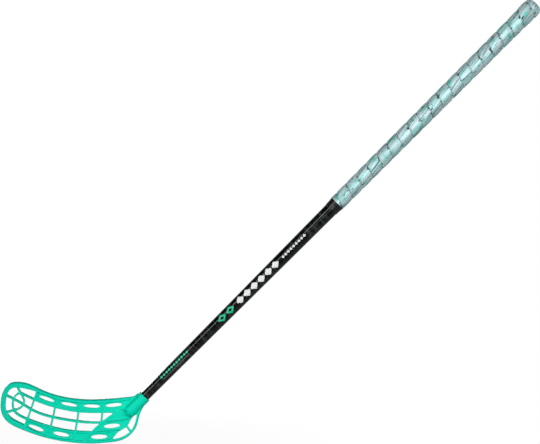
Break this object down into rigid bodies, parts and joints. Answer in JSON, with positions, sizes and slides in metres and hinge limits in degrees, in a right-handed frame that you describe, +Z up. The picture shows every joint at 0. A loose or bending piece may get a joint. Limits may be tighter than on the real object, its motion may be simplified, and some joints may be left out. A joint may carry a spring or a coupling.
{
  "type": "floorball stick",
  "caption": "Floorball stick with a tapered black tube shaft, a wound turquoise grip with a knobbed butt and a perforated turquoise plastic blade screwed on by its socket.",
  "frame": {"origin": "middle of the grip on the axis of the shaft, where a hand holds the stick", "axes": "+Z up with the stick in playing position and the sole of the blade flat on the floor; +X from the toe of the blade towards the butt; +Y to the concave side of the blade, where the screws are"},
  "size_m": [0.9013, 0.0317, 0.7399],
  "materials": {
    "shaft": "black lacquer over a wound fibre composite",
    "blade": "turquoise moulded polyethylene, satin",
    "screw": "zinc plated",
    "cap": "black moulded",
    "grip": "soft synthetic grip with a streaky mint and silver print",
    "sticky": "double-sided tape",
    "finishing": "black vinyl tape"
  },
  "bodies": {
    "stick": {"shaft_tube": "shaft", "blade": "blade", "butt_cap": "cap", "grip_tape": "grip", "grip_sticky_strip": "sticky", "finishing_tape": "finishing"},
    "upper_screw": {"blade_screw_upper": "screw"},
    "lower_screw": {"blade_screw_lower": "screw"}
  },
  "joints": [
    {"name": "upper_screw_out", "type": "slide", "parent": "stick", "child": "upper_screw", "axis": [0, 1, 0], "range_m": [0, 0.009]},
    {"name": "lower_screw_out", "type": "slide", "parent": "stick", "child": "lower_screw", "axis": [0, 1, 0], "range_m": [0, 0.009]}
  ]
}
